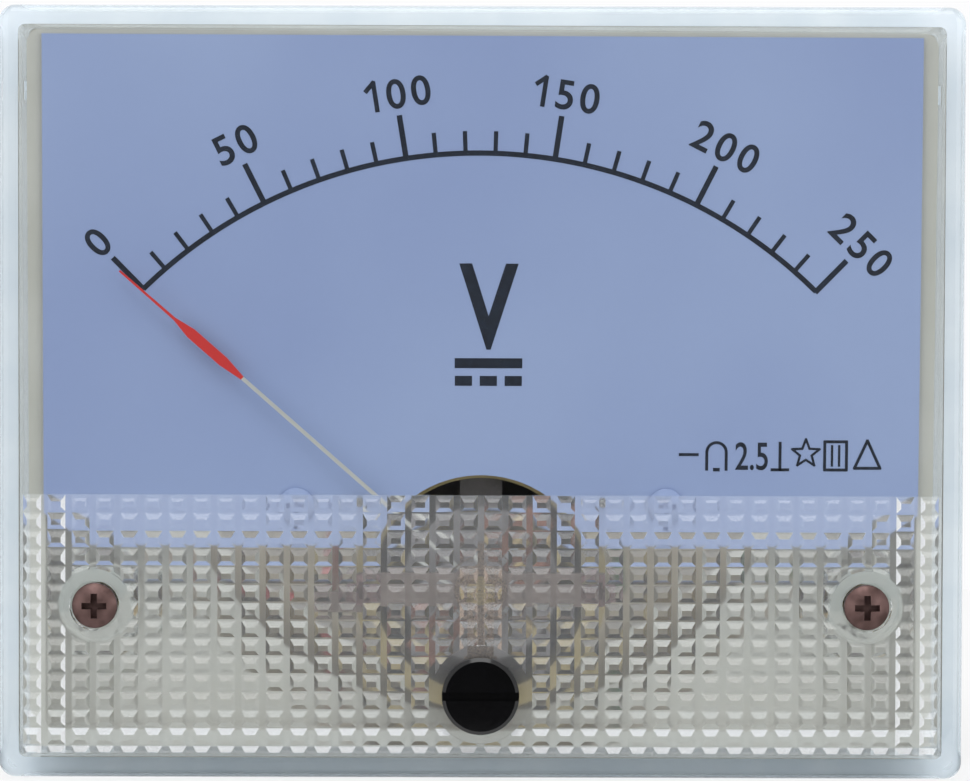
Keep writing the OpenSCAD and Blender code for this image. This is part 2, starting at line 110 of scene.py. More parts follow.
def addRod(x, z, r, y0, y1, sides=64):  # a cylinder along Y
    bpy.ops.mesh.primitive_cylinder_add(
        vertices=sides, radius=r * mm, depth=(y1 - y0) * mm,
        location=(x * mm, (y0 + y1) / 2 * mm, z * mm), rotation=(pi / 2, 0, 0))
    return settle(bpy.context.object)


def combine(obj, other, operation):  # one closed shape from two
    only(obj)
    useModifier(obj, "BOOLEAN", object=other, operation=operation, solver="EXACT")
    bpy.data.objects.remove(other)
    return obj


def smooth(obj, angle=30):
    only(obj)
    bpy.ops.object.shade_smooth_by_angle(angle=radians(angle))
    return obj


def copyOf(obj):
    twin = obj.copy()
    twin.data = obj.data.copy()
    bpy.context.collection.objects.link(twin)
    return twin


def joined(objs, title):
    only(*objs)
    bpy.ops.object.join()
    return name(bpy.context.object, title)


def finishPiece(obj, material, body, slot, *replaced):
    obj.data.materials.clear()
    obj.data.materials.append(material)
    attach(obj, body)
    if replaced:
        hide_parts(*replaced)
    return obj


# Colour and nodes

def colour(code):  # an sRGB hex value as linear light
    parts = [int(code[i:i + 2], 16) / 255 for i in (0, 2, 4)]
    return [p / 12.92 if p <= 0.04045 else ((p + 0.055) / 1.055) ** 2.4 for p in parts] + [1.0]


def addNode(tree, kind, settings=None, **inputs):  # a node, its settings, and what feeds or fills its sockets
    node = tree.nodes.new("ShaderNode" + kind)
    for key, value in (settings or {}).items():
        setattr(node, key, value)
    for key, value in inputs.items():
        socket = node.inputs[int(key[1:])] if key[1:].isdigit() else node.inputs[key.replace("_", " ")]
        if isinstance(value, bpy.types.NodeSocket):
            tree.links.new(value, socket)
        else:
            socket.default_value = value
    return node


def newMaterial(title, **sockets):
    material = bpy.data.materials.new(title)
    material.use_nodes = True
    tree = material.node_tree
    shader = tree.nodes["Principled BSDF"]
    for key, value in sockets.items():
        shader.inputs[key.replace("_", " ")].default_value = value
    place = addNode(tree, "TexCoord").outputs["Object"]
    return material, tree, shader, place


def mottle(tree, place, sizeMm, codeA, codeB, low=0.35, high=0.65, detail=3.0):  # two colours in soft patches
    noise = addNode(tree, "TexNoise", Vector=place, Scale=1 / (sizeMm * mm), Detail=detail)
    ramp = addNode(tree, "ValToRGB", Fac=noise.outputs["Fac"])
    ramp.color_ramp.elements[0].position = low
    ramp.color_ramp.elements[1].position = high
    ramp.color_ramp.elements[0].color = colour(codeA)
    ramp.color_ramp.elements[1].color = colour(codeB)
    return ramp.outputs["Color"]


def grain(tree, shader, place, sizeMm, depthMm, stretch=(1, 1, 1), detail=2.0):  # bump and gloss from one noise
    stretched = addNode(tree, "Mapping", Vector=place, Scale=stretch)
    noise = addNode(tree, "TexNoise", Vector=stretched.outputs["Vector"], Scale=1 / (sizeMm * mm),
                    Detail=detail)
    bump = addNode(tree, "Bump", Height=noise.outputs["Fac"], Distance=depthMm * mm, Strength=1.0)
    tree.links.new(bump.outputs["Normal"], shader.inputs["Normal"])
    return noise.outputs["Fac"]


def spreadRoughness(tree, shader, fac, low, high):
    spread = addNode(tree, "MapRange", Value=fac, From_Min=0.3, From_Max=0.7, To_Min=low, To_Max=high)
    tree.links.new(spread.outputs["Result"], shader.inputs["Roughness"])


def plastic(title, codeA, codeB, low, high, grainMm, depthMm, patchMm=9, ior=1.5):
    material, tree, shader, place = newMaterial(title, IOR=ior)
    tree.links.new(mottle(tree, place, patchMm, codeA, codeB), shader.inputs["Base Color"])
    spreadRoughness(tree, shader, grain(tree, shader, place, grainMm, depthMm), low, high)
    return material


def metal(title, codeA, codeB, low, high, grainMm, depthMm, stretch=(1, 1, 1), patchMm=4):
    material, tree, shader, place = newMaterial(title, Metallic=1.0)
    tree.links.new(mottle(tree, place, patchMm, codeA, codeB), shader.inputs["Base Color"])
    spreadRoughness(tree, shader, grain(tree, shader, place, grainMm, depthMm, stretch), low, high)
    return material


# Glossy black acetal: near black, with faint mould haze
blackAcetal = plastic("blackAcetal", "050506", "09090B", 0.08, 0.14, 0.5, 0.001, ior=1.48)
# Turned phenolic pillars: brown-black, slightly waxy
phenolic = plastic("phenolic", "1E1512", "2A1D17", 0.35, 0.5, 0.15, 0.004)
# PVC insulation on the leads: soft gloss
redPvc = plastic("redPvc", "A81814", "B8241C", 0.35, 0.45, 0.3, 0.004)
greenPvc = plastic("greenPvc", "1B6B31", "237A3B", 0.35, 0.45, 0.3, 0.004)
# Dipped epoxy lacquer on the resistor: tan, glossy, a little uneven
resistorLacquer = plastic("resistorLacquer", "B89C74", "C4A982", 0.25, 0.4, 0.6, 0.02, ior=1.55)
# Synthetic ruby bearing: deep pink, polished
syntheticRuby = plastic("syntheticRuby", "A01838", "B42448", 0.05, 0.12, 0.2, 0.0005, ior=1.77)

# Turned brass: fine rings round the Y axis, soft golden sheen
turnedBrass = metal("turnedBrass", "B09A6C", "C0AC80", 0.22, 0.38, 0.12, 0.003, (1, 6, 1))
# Stamped brass: brown-grey, dark, dull, with fine rolling marks
darkBrass = metal("darkBrass", "7A6C64", "8A7C74", 0.38, 0.55, 0.12, 0.004, (0.2, 1, 1))
# Bright zinc plating: bluish grey, slightly cloudy
zincPlate = metal("zincPlate", "B9BCC0", "C8CBCE", 0.26, 0.42, 0.2, 0.003)
# Nickel plate on brass or steel: warm white metal, polished
nickelPlate = metal("nickelPlate", "C2BEB4", "D0CCC2", 0.16, 0.3, 0.25, 0.002)
# Tinned brass: dull, soft-edged, with a flowed surface
tinnedBrass = metal("tinnedBrass", "BDBAB0", "CBC8BE", 0.35, 0.5, 0.6, 0.01)
# Faded yellow-passivated zinc on the soft iron yoke: muted gold, cloudy, with fine turning rings
fadedYellowZinc = metal("fadedYellowZinc", "AC9C6E", "BAAA7E", 0.42, 0.58, 0.3, 0.004, patchMm=2)
# Ground magnet alloy: mid grey, fine grind marks along the axis
groundMagnet = metal("groundMagnet", "928E8E", "A29E9D", 0.4, 0.55, 0.15, 0.006, (1, 0.1, 1))
# Die-cast zinc alloy: dark warm grey, matt, with a faint flow pattern
dieCast = metal("dieCast", "625E5C", "706C6A", 0.42, 0.6, 0.35, 0.01)
# Thin bare aluminium sheet: silvery, with rolling marks along X
bareAluminium = metal("bareAluminium", "C4C6C8", "D2D4D6", 0.28, 0.4, 0.1, 0.002, (0.1, 1, 1))
# Polished pivot steel: cool, bright, mirror-like on its thin shaft
pivotSteel = metal("pivotSteel", "A8A9AC", "B8B9BC", 0.12, 0.22, 0.1, 0.001)
# Rolled phosphor bronze for springs and the lever: dull rose-brown with a soft sheen
springBronze = metal("springBronze", "988270", "A89280", 0.22, 0.34, 0.12, 0.002)
# Chemically bronzed steel screws: brown with a purple cast, semi-matt
bronzedSteel = metal("bronzedSteel", "54423F", "705A57", 0.35, 0.55, 0.3, 0.008, patchMm=1.2)


barrelWall = {"outerR": 30.8, "frontY": -2.9, "glow": 0.48}


def ivoryAbs():  # injection-moulded ABS: warm off-white satin skin; the thin barrel lets daylight glow through
    w = barrelWall
    material, tree, shader, place = newMaterial("ivoryAbs", IOR=1.5)
    spreadRoughness(tree, shader, grain(tree, shader, place, 0.22, 0.004), 0.34, 0.46)
    tree.links.new(mottle(tree, place, 9, "BAB6AA", "C1BDB2"), shader.inputs["Base Color"])
    flat = addNode(tree, "VectorMath", {"operation": "MULTIPLY"}, _0=place, _1=(1, 0, 1))
    reach = addNode(tree, "VectorMath", {"operation": "LENGTH"}, _0=flat.outputs["Vector"])
    thin = addNode(tree, "Math", {"operation": "LESS_THAN"}, _0=reach.outputs["Value"], _1=w["outerR"] * mm)
    along = addNode(tree, "SeparateXYZ", Vector=place)
    behind = addNode(tree, "Math", {"operation": "GREATER_THAN"}, _0=along.outputs["Y"], _1=w["frontY"] * mm)
    barrel = addNode(tree, "Math", {"operation": "MULTIPLY"}, _0=thin.outputs["Value"],
                     _1=behind.outputs["Value"])
    share = addNode(tree, "Math", {"operation": "MULTIPLY"}, _0=barrel.outputs["Value"], _1=w["glow"])
    glow = addNode(tree, "BsdfTranslucent", Color=colour("F6F2E8"))
    mix = addNode(tree, "MixShader", Fac=share.outputs["Value"], _1=shader.outputs["BSDF"],
                  _2=glow.outputs["BSDF"])
    tree.links.new(mix.outputs["Shader"], tree.nodes["Material Output"].inputs["Surface"])
    return material


def dialPaint():  # satin stoving paint on the dial: periwinkle blue, very slightly uneven
    material, tree, shader, place = newMaterial("dialPaint", IOR=1.48)
    tree.links.new(mottle(tree, place, 26, "8E9BC0", "97A4C6", detail=1.5), shader.inputs["Base Color"])
    spreadRoughness(tree, shader, grain(tree, shader, place, 0.12, 0.002), 0.45, 0.6)
    return material


windingPitch = 0.3


def enamelledCopper():  # fine enamelled wire along the former, its ridges drawn coarse so that they show
    material, tree, shader, place = newMaterial("enamelledCopper", Metallic=0.85, Roughness=0.3)
    tree.links.new(mottle(tree, place, 1.5, "7A5040", "90604C"), shader.inputs["Base Color"])
    turned = addNode(tree, "Mapping", Vector=place, Rotation=(0, radians(restAngle), 0))
    wave = addNode(tree, "TexWave", {"bands_direction": "Z"}, Vector=turned.outputs["Vector"],
                   Scale=pi / 10 / (windingPitch * mm), Distortion=0.4)
    bump = addNode(tree, "Bump", Height=wave.outputs["Fac"], Distance=0.05 * mm)
    tree.links.new(bump.outputs["Normal"], shader.inputs["Normal"])
    return material


redFrom = 26.7  # distance from the pivot at which the red lacquer starts


def pointerFinish():  # bare aluminium stem with a red lacquered blade and tip
    material, tree, shader, place = newMaterial("pointerFinish", Roughness=0.4)
    flat = addNode(tree, "VectorMath", {"operation": "MULTIPLY"}, _0=place, _1=(1, 0, 1))
    reach = addNode(tree, "VectorMath", {"operation": "DISTANCE"}, _0=flat.outputs["Vector"],
                    _1=(0, 0, pivotZ * mm))
    red = addNode(tree, "Math", {"operation": "GREATER_THAN"}, _0=reach.outputs["Value"], _1=redFrom * mm)
    mix = addNode(tree, "Mix", {"data_type": "RGBA"}, Factor=red.outputs["Value"],
                  _6=colour("D8D6CE"), _7=colour("CC2B26"))
    bare = addNode(tree, "MapRange", Value=red.outputs["Value"], To_Min=0.6, To_Max=0.0)
    tree.links.new(mix.outputs[2], shader.inputs["Base Color"])
    tree.links.new(bare.outputs["Result"], shader.inputs["Metallic"])
    return material


def clearStyrene(title, roughness, clearness):  # clear polystyrene: colourless, a hint of blue in the thickness
    material, tree, shader, place = newMaterial(
        title, Base_Color=colour("F9FAFB"), Roughness=roughness, IOR=1.5, Transmission_Weight=clearness)
    noise = addNode(tree, "TexNoise", Vector=place, Scale=1 / (6 * mm), Detail=1.0)
    bump = addNode(tree, "Bump", Height=noise.outputs["Fac"], Distance=0.004 * mm)
    tree.links.new(bump.outputs["Normal"], shader.inputs["Normal"])
    clear = addNode(tree, "BsdfTransparent", Color=colour("F2F6F8"))
    path = addNode(tree, "LightPath")
    straight = addNode(tree, "Math", {"operation": "MAXIMUM"}, _0=path.outputs["Is Shadow Ray"],
                       _1=path.outputs["Is Diffuse Ray"])
    mix = addNode(tree, "MixShader", Fac=straight.outputs["Value"],
                  _1=shader.outputs["BSDF"], _2=clear.outputs["BSDF"])
    tree.links.new(mix.outputs["Shader"], tree.nodes["Material Output"].inputs["Surface"])
    return material


def paleEdgePaintedGlow():  # the back edge of the clear wall: pale, matt, cold white, a painted reflection that stands in for the bright rim that the clear wall shows
    material, tree, shader, place = newMaterial("paleEdgePaintedGlow", Roughness=0.75, IOR=1.5)
    tree.links.new(mottle(tree, place, 5, "E4ECF4", "EEF4FA"), shader.inputs["Base Color"])
    grain(tree, shader, place, 0.1, 0.01)
    return material


def printInk():  # screen-printed ink: blue-black, a touch glossier than the paint
    material, tree, shader, place = newMaterial("printInk", Roughness=0.4)
    tree.links.new(mottle(tree, place, 0.6, "131925", "1B2332"), shader.inputs["Base Color"])
    return material


# Places taken from the frame

lowCorner, highCorner = [[v / mm for v in corner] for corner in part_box("front_cover")]
frontY, coverBackY = lowCorner[1], highCorner[1] - 0.03  # its back stops a hair short of the flange
halfW, halfH = highCorner[0], highCorner[2]
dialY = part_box("dial_plate")[0][1] / mm
coreLow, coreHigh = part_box("core_magnet")
pivotZ = (coreLow[2] + coreHigh[2]) / 2 / mm
restAngle = 48.9  # between the pointer at zero and the upright

# CAD nodes that keep their shape

dialBlue = dialPaint()
nodeFinish = {
    "rear_case": ivoryAbs(), "cover_screws": bronzedSteel, "screw_inserts": turnedBrass,
    "panel_studs": zincPlate, "terminal_studs": turnedBrass, "terminal_tags": tinnedBrass,
    "terminal_washers": nickelPlate, "terminal_spring_washers": zincPlate, "terminal_nuts": turnedBrass,
    "dial_plate": dialBlue, "dial_posts": turnedBrass, "dial_screws": dialBlue,
    "pointer_stops": nickelPlate, "yoke_ring": fadedYellowZinc, "core_magnet": groundMagnet,
    "movement_bracket": dieCast, "movement_screws": nickelPlate, "front_bridge": darkBrass,
    "bridge_pillars": phenolic, "bridge_screws": bronzedSteel, "front_jewel_screw": turnedBrass,
    "rear_jewel_screw": turnedBrass, "pivot_jewels": syntheticRuby, "rear_lock_nut": turnedBrass,
    "rear_spring_tag": turnedBrass, "coil_former": bareAluminium, "coil_winding": enamelledCopper(),
    "front_pivot": pivotSteel, "rear_pivot": pivotSteel, "pointer": pointerFinish(),
    "balance_cross": bareAluminium, "balance_weights": turnedBrass, "front_hairspring": springBronze,
    "rear_hairspring": springBronze, "zero_adjuster": blackAcetal, "adjuster_clip": pivotSteel,
    "zero_lever": springBronze, "series_resistor": resistorLacquer, "supply_lead": tinnedBrass,
    "red_lead": redPvc, "green_lead": greenPvc,
}
for title, material in nodeFinish.items():
    for slot in nodes[title].material_slots:
        slot.material = material
print("finishes given to the CAD nodes")

# Clear cover

cover = {
    "wall": 1.6, "window": 1.8, "cornerR": 1.4, "innerR": 0.6, "edgeR": 0.9,
    "nibX": 38.4, "nibY": -5.2, "nibZ": 25.1, "nib": 0.7, "nibLong": 1.6,
    "screwX": 32, "screwZ": -17.7, "bossR": 3.1, "bossBackY": -8, "screwHole": 1.15,
    "headR": 2.07, "headDepth": 0.9, "knobZ": -25, "knobHole": 1.95,
    "gridHalfX": 38.19, "gridTop": -8.45, "gridBottom": -30.0, "columns": 38, "rows": 15, "pitchZ": 1.49,
    "relief": 0.36, "gapX": 0.265, "gapZ": 0.06, "padR": 3.05, "knobPadR": 4.1,
    "topW": 0.8, "topH": 0.46, "topDrop": 0.08,
}


def coverShell():
    c = cover
    obj = addBox(-halfW, halfW, frontY, coverBackY, -halfH, halfH)
    edit(obj, "EDGE")
    pick(obj, lambda a, b: abs(a.y - b.y) > 5, "edges")
    bpy.ops.mesh.bevel(offset=c["cornerR"] * mm, segments=10, affect="EDGES")
    done()
    edit(obj, "EDGE")
    pick(obj, lambda a, b: a.y < frontY + 0.01 and b.y < frontY + 0.01, "edges")
    bpy.ops.mesh.bevel(offset=c["edgeR"] * mm, segments=5, affect="EDGES", clamp_overlap=True)
    done()
    inner = addBox(-halfW + c["wall"], halfW - c["wall"], frontY + c["window"], coverBackY + 2,
                   -halfH + c["wall"], halfH - c["wall"])
    edit(inner, "EDGE")
    pick(inner, lambda a, b: abs(a.y - b.y) > 5, "edges")
    bpy.ops.mesh.bevel(offset=c["innerR"] * mm, segments=5, affect="EDGES")
    done()
    return combine(obj, inner, "DIFFERENCE")


def gridCutter():  # the space in front of the pyramids, as one closed block
    c = cover
    pitchX = 2 * c["gridHalfX"] / c["columns"]
    pitchZ = c["pitchZ"]
    x0, z1 = -c["gridHalfX"], c["gridTop"]
    bottomY = frontY + c["relief"]
    bpy.ops.mesh.primitive_plane_add(size=1, location=(0, 0, 0), rotation=(pi / 2, 0, 0))
    cell = bpy.context.object
    cell.scale = (pitchX * mm, pitchZ * mm, 1)
    settle(cell)
    edit(cell)
    pick(cell, lambda centre, normal: True)
    bpy.ops.mesh.inset(thickness=c["gapZ"] * mm)
    bpy.ops.transform.resize(value=((pitchX - 2 * c["gapX"]) / (pitchX - 2 * c["gapZ"]), 1, 1),
                             center_override=(0, 0, 0))
    bpy.ops.mesh.extrude_region_move(TRANSFORM_OT_translate={"value": (0, -c["relief"] * mm, 0)})
    bpy.ops.transform.resize(
        value=(c["topW"] / (pitchX - 2 * c["gapX"]), 1, c["topH"] / (pitchZ - 2 * c["gapZ"])),
        center_override=(0, 0, 0))
    bpy.ops.transform.translate(value=(0, 0, -c["topDrop"] * mm))
    done()
    for axis, count, pitch in ((0, c["columns"], pitchX), (2, c["rows"], -pitchZ)):
        step = [0, 0, 0]
        step[axis] = pitch * mm
        useModifier(cell, "ARRAY", count=count, use_relative_offset=False, use_constant_offset=True,
                    constant_offset_displace=step, use_merge_vertices=True, merge_threshold=0.01 * mm)
    cell.location = ((x0 + pitchX / 2) * mm, bottomY * mm, (z1 - pitchZ / 2) * mm)
    settle(cell)
    # the last row is cut short by the lower rim
    edit(cell, "VERT")
    bpy.ops.mesh.select_all(action="SELECT")
    bpy.ops.mesh.bisect(plane_co=(0, 0, c["gridBottom"] * mm), plane_no=(0, 0, -1), clear_outer=True)
    bpy.ops.mesh.select_all(action="SELECT")
    bpy.ops.mesh.remove_doubles(threshold=0.005 * mm)
    bpy.ops.mesh.select_all(action="DESELECT")
    bpy.ops.mesh.select_mode(type="EDGE")
    bpy.ops.mesh.select_non_manifold()
    bpy.ops.mesh.extrude_edges_move(TRANSFORM_OT_translate={"value": (0, -3 * mm, 0)})
    bpy.ops.mesh.select_mode(type="VERT")
    done()
    edit(cell, "VERT")
    pick(cell, lambda v: v.y < frontY - 1, "verts")
    bpy.ops.transform.resize(value=(1, 0, 1), center_override=(0, (frontY - 2) * mm, 0))
    done()
    edit(cell, "EDGE")
    pick(cell, lambda a, b: a.y < frontY - 1 and b.y < frontY - 1, "edges")
    bpy.ops.mesh.fill()
    bpy.ops.mesh.select_all(action="SELECT")
    bpy.ops.mesh.normals_make_consistent(inside=False)
    done()
    return cell


def makeCover():
    c = cover
    obj = coverShell()
    combine(obj, gridCutter(), "DIFFERENCE")
    for side in (-1, 1):
        combine(obj, addRod(side * c["screwX"], c["screwZ"], c["padR"], frontY, frontY + 1.2), "UNION")
        combine(obj, addRod(side * c["screwX"], c["screwZ"], c["bossR"], frontY + 1.5, c["bossBackY"]), "UNION")
        half, tall = c["nib"] / 2, c["nibLong"] / 2
        nib = addBox(-half, half, -half, half, -tall, tall)
        nib.rotation_euler = (0, 0, radians(45))
        nib.location = (side * c["nibX"] * mm, c["nibY"] * mm, c["nibZ"] * mm)
        combine(obj, settle(nib), "UNION")
    combine(obj, addRod(0, c["knobZ"], c["knobPadR"], frontY, frontY + 1.2), "UNION")
    for side in (-1, 1):
        combine(obj, addRod(side * c["screwX"], c["screwZ"], c["screwHole"], frontY - 2, 0), "DIFFERENCE")
        combine(obj, addRod(side * c["screwX"], c["screwZ"], c["headR"], frontY - 2, frontY + c["headDepth"]),
                "DIFFERENCE")
    combine(obj, addRod(0, c["knobZ"], c["knobHole"], frontY - 2, frontY + 4), "DIFFERENCE")
    smooth(obj, 25)
    return name(obj, "clearCover")


def giveFaces(obj, material, test):  # another material on some faces
    obj.data.materials.append(material)
    edit(obj)
    pick(obj, test)
    obj.active_material_index = len(obj.data.materials) - 1
    bpy.ops.object.material_slot_assign()
    done()


# Polished walls and window
clearCover = finishPiece(makeCover(), clearStyrene("clearStyrene", 0.02, 1.0), "case", "clear_cover",
                         "front_cover")
# the back edge faces of the wall get the pale painted reflection that makes the rim look bright
giveFaces(clearCover, paleEdgePaintedGlow(), lambda centre, normal: centre.y > coverBackY - 0.01 and normal.y > 0.9)
# Spark-eroded pyramids: the same plastic with a faintly matt skin that softens what lies behind
giveFaces(clearCover, clearStyrene("prismStyrene", 0.17, 0.9),
          lambda centre, normal: frontY - 0.01 < centre.y < frontY + cover["relief"] + 0.01
          and abs(centre.x) < cover["gridHalfX"] and cover["gridBottom"] < centre.z < cover["gridTop"])
print("clear cover made:", len(clearCover.data.polygons), "faces")

# Dial print

scale = {
    "centre": (-0.2, -20.4), "radius": 40.4, "halfAngle": 44.4, "line": 0.44,
    "major": 3.55, "minor": 1.75, "majorW": 0.46, "minorW": 0.36,
    "numbers": ["0", "50", "100", "150", "200", "250"], "numberAt": 45.85, "figure": 2.5, "figurePitch": 2.1,
    "figureStroke": 0.38, "figureBold": 0.05, "thick": 0.02,
}
inkBack = dialY + 0.01
inkFront = dialY - scale["thick"]


def inkBar(x, z, length, width, angle, proud=0.0):  # a printed bar; 0 stands upright, positive leans right
    bar = addBox(-width / 2, width / 2, inkFront - proud, inkBack, -length / 2, length / 2)
    bar.rotation_euler = (0, radians(angle), 0)
    bar.location = (x * mm, 0, z * mm)
    return settle(bar)


def inkPath(points, width):  # printed straight strokes from point to point, each a hair prouder than the last
    strokes = []
    for i, ((x0, z0), (x1, z1)) in enumerate(zip(points, points[1:])):
        strokes.append(inkBar((x0 + x1) / 2, (z0 + z1) / 2, hypot(x1 - x0, z1 - z0) + width * 0.7, width,
                              degrees(atan2(x1 - x0, z1 - z0)), 0.001 * (i + 1)))
    return strokes


def inkArc(cx, cz, r, width, a0, a1, steps):  # a printed line along an arc; angles from upright, in degrees
    bpy.ops.mesh.primitive_plane_add(size=1, rotation=(0, 0, 0))
    strip = bpy.context.object
    strip.scale = (width * mm, (inkBack - inkFront) * mm, 1)
    strip.location = ((cx + r * sin(radians(a0))) * mm, (inkBack + inkFront) / 2 * mm,
                      (cz + r * cos(radians(a0))) * mm)
    strip.rotation_euler = (0, radians(a0 - 90), 0)
    settle(strip)
    edit(strip)
    bpy.ops.mesh.select_all(action="SELECT")
    bpy.ops.mesh.spin(steps=steps, angle=radians(a1 - a0), center=(cx * mm, 0, cz * mm), axis=(0, -1, 0))
    bpy.ops.mesh.select_all(action="SELECT")
    bpy.ops.mesh.normals_make_consistent(inside=False)
    done()
    return strip


def inkText(words, x, z, tall, angle, broad=None, bold=0.0):  # printed characters of a given height and width
    bpy.ops.object.text_add()
    text = bpy.context.object
    text.data.body = words
    text.data.size = tall / 0.7 * mm
    text.data.offset = bold * mm
    text.data.extrude = (inkBack - inkFront) / 2 * mm
    only(text)
    bpy.ops.object.convert(target="MESH")
    obj = bpy.context.object
    edit(obj, "VERT")
    bpy.ops.mesh.select_all(action="SELECT")
    bpy.ops.mesh.remove_doubles(threshold=0.001 * mm)
    done()
    bpy.ops.object.origin_set(type="ORIGIN_GEOMETRY", center="BOUNDS")
    obj.location = (0, 0, 0)
    size = tall * mm / obj.dimensions.y
    obj.scale = (broad * mm / obj.dimensions.x if broad else size, size, 1)
    settle(obj)
    obj.rotation_euler = (pi / 2, 0, 0)
    settle(obj)
    obj.rotation_euler = (0, radians(angle), 0)
    obj.location = (x * mm, (inkBack + inkFront) / 2 * mm, z * mm)
    return settle(obj)


def inkNumber(words, x, z, angle):  # figures at an even pitch; a one is a stem with a flag
    s = scale
    pieces = []
    for i, figure in enumerate(words):
        along = (i - (len(words) - 1) / 2) * s["figurePitch"]
        if figure == "1":
            high, low = s["figure"] / 2 - 0.05, -s["figure"] / 2 + 0.1
            one = joined(inkPath([(0.35, low), (0.35, high), (-0.35, high - 0.62)], s["figureStroke"]), "one")
            one.rotation_euler = (0, radians(angle), 0)
            one.location = ((x + along * cos(radians(angle))) * mm, 0, (z - along * sin(radians(angle))) * mm)
            pieces.append(settle(one))
        else:
            pieces.append(inkText(figure, x + along * cos(radians(angle)), z - along * sin(radians(angle)),
                                  s["figure"], angle, bold=s["figureBold"]))
    return pieces


def scalePrint():
    s = scale
    cx, cz = s["centre"]
    pieces = [inkArc(cx, cz, s["radius"], s["line"], -s["halfAngle"], s["halfAngle"], 96)]
    last = 25
    for i in range(last + 1):
        a = radians(s["halfAngle"] * (2 * i / last - 1))
        x, z = cx + s["radius"] * sin(a), cz + s["radius"] * cos(a)
        major = i % 5 == 0
        length = s["major"] if major else s["minor"]
        out = length / 2
        pieces.append(inkBar(x + out * sin(a), z + out * cos(a), length + 0.2,
                             s["majorW"] if major else s["minorW"], degrees(a), 0.003))
        if major:
            pieces += inkNumber(s["numbers"][i // 5], cx + s["numberAt"] * sin(a), cz + s["numberAt"] * cos(a),
                                degrees(a))
    return pieces


unit = {"letterX": 0.5, "letterZ": 7.12, "letterH": 7.25, "letterW": 5.0, "x": 0.53, "lineZ": 2.35,
        "lineLong": 5.7, "dashZ": 0.86, "dashLong": 1.45, "dashPitch": 2.1, "thick": 0.84}


def unitPrint():  # the V with the sign for direct current
    u = unit
    pieces = [inkText("V", u["letterX"], u["letterZ"], u["letterH"], 0, broad=u["letterW"], bold=0.22)]
    pieces.append(inkBar(u["x"], u["lineZ"], u["lineLong"], u["thick"], 90))
    for i in (-1, 0, 1):
        pieces.append(inkBar(u["x"] + i * u["dashPitch"], u["dashZ"], u["dashLong"], u["thick"], 90))
    return pieces


signs = {"middle": -5.43, "half": 1.14, "stroke": 0.25, "dash": 17.5, "magnet": 19.84, "class": 22.8,
         "upright": 25.2, "star": (27.38, -5.2), "screen": 29.89, "triangle": 32.57, "starOut": 1.22,
         "starIn": 0.52}


def signPrint():  # the row of instrument symbols at the lower right
    s = signs
    w, z, h = s["stroke"], s["middle"], s["half"]
    low, high = z - h, z + h
    pieces = inkPath([(s["dash"] - 0.75, z + 0.12), (s["dash"] + 0.75, z + 0.12)], w)
    # magnet: a horseshoe with its legs down, and the coil's mark between them
    x, r = s["magnet"], 0.82
    pieces += inkPath([(x - r, low), (x - r, high - r)], w) + inkPath([(x + r, low), (x + r, high - r)], w)
    pieces.append(inkArc(x, high - r, r, w, -90, 90, 16))
    pieces += inkPath([(x - 0.18, low), (x + 0.18, low)], 0.3)
    pieces.append(inkText("2.5", s["class"], z, 2.36, 0, broad=2.75, bold=0.03))
    # dial used upright
    x = s["upright"]
    pieces += inkPath([(x, low), (x, high)], w) + inkPath([(x - 0.7, low), (x + 0.7, low)], w)
    # test-voltage star
    cx, cz = s["star"]
    reach = [s["starOut"] if i % 2 == 0 else s["starIn"] for i in range(11)]
    star = [(cx + r * sin(i * pi / 5), cz + r * cos(i * pi / 5)) for i, r in enumerate(reach)]
    pieces += inkPath(star, 0.2)
    # screening: a box with two bars
    x = s["screen"]
    pieces += inkPath([(x - 0.92, low), (x - 0.92, high + 0.1), (x + 0.92, high + 0.1), (x + 0.92, low),
                       (x - 0.92, low)], w)
    for side in (-0.3, 0.3):
        pieces += inkPath([(x + side, low + 0.35), (x + side, high - 0.25)], 0.2)
    # triangle
    x = s["triangle"]
    pieces += inkPath([(x - 1.08, low + 0.15), (x, high + 0.2), (x + 1.08, low + 0.15),
                       (x - 1.08, low + 0.15)], w)
    return pieces


dialPrint = joined(scalePrint() + unitPrint() + signPrint(), "dialPrint")
finishPiece(dialPrint, printInk(), "case", "dial_paint")
print("dial print made")

# Threads

def threadRidge(x, z, r, pitch, y0, y1, steps=24):  # one helical ridge, closed at both ends
    depth = 0.61 * pitch
    bpy.ops.mesh.primitive_circle_add(vertices=3, radius=1, fill_type="NOTHING", rotation=(0, 0, -pi / 2))
    ridge = bpy.context.object
    ridge.scale = (0.96 * pitch / sqrt(3) * mm, (depth + 0.06) / 1.5 * mm, 1)
    settle(ridge)
    tip = max(v.co.x for v in ridge.data.vertices) / mm
    ridge.location = ((r - tip) * mm, (y0 + pitch / 2) * mm, 0)
    settle(ridge)
    useModifier(ridge, "SCREW", axis="Y", angle=2 * pi, screw_offset=pitch * mm, steps=steps,
                render_steps=steps, iterations=int((y1 - y0) / pitch) - 1, use_merge_vertices=False)
    edit(ridge, "EDGE")
    bpy.ops.mesh.select_all(action="SELECT")
    bpy.ops.mesh.fill_holes(sides=3)
    bpy.ops.mesh.select_all(action="SELECT")
    bpy.ops.mesh.normals_make_consistent(inside=False)
    done()
    ridge.location = (x * mm, 0, z * mm)
    return settle(smooth(ridge, 25))


def turned(steps):  # a turned pin on the Y axis from (radius, y0, y1) steps
    return [addRod(0, 0, r, y0, y1, 48) for r, y0, y1 in steps]


def chamfer(r, y0, long):  # the coned end of a pin
    bpy.ops.mesh.primitive_cone_add(vertices=48, radius1=r * mm, radius2=(r - long) * mm, depth=long * mm,
                                    location=(0, (y0 + long / 2) * mm, 0), rotation=(-pi / 2, 0, 0))
    return settle(bpy.context.object)


def placed(model, places):  # copies of one model at each (x, z)
    twins = []
    for x, z in places:
        twin = copyOf(model)
        twin.location = (x * mm, 0, z * mm)
        twins.append(settle(twin))
    bpy.data.objects.remove(model)
    return twins


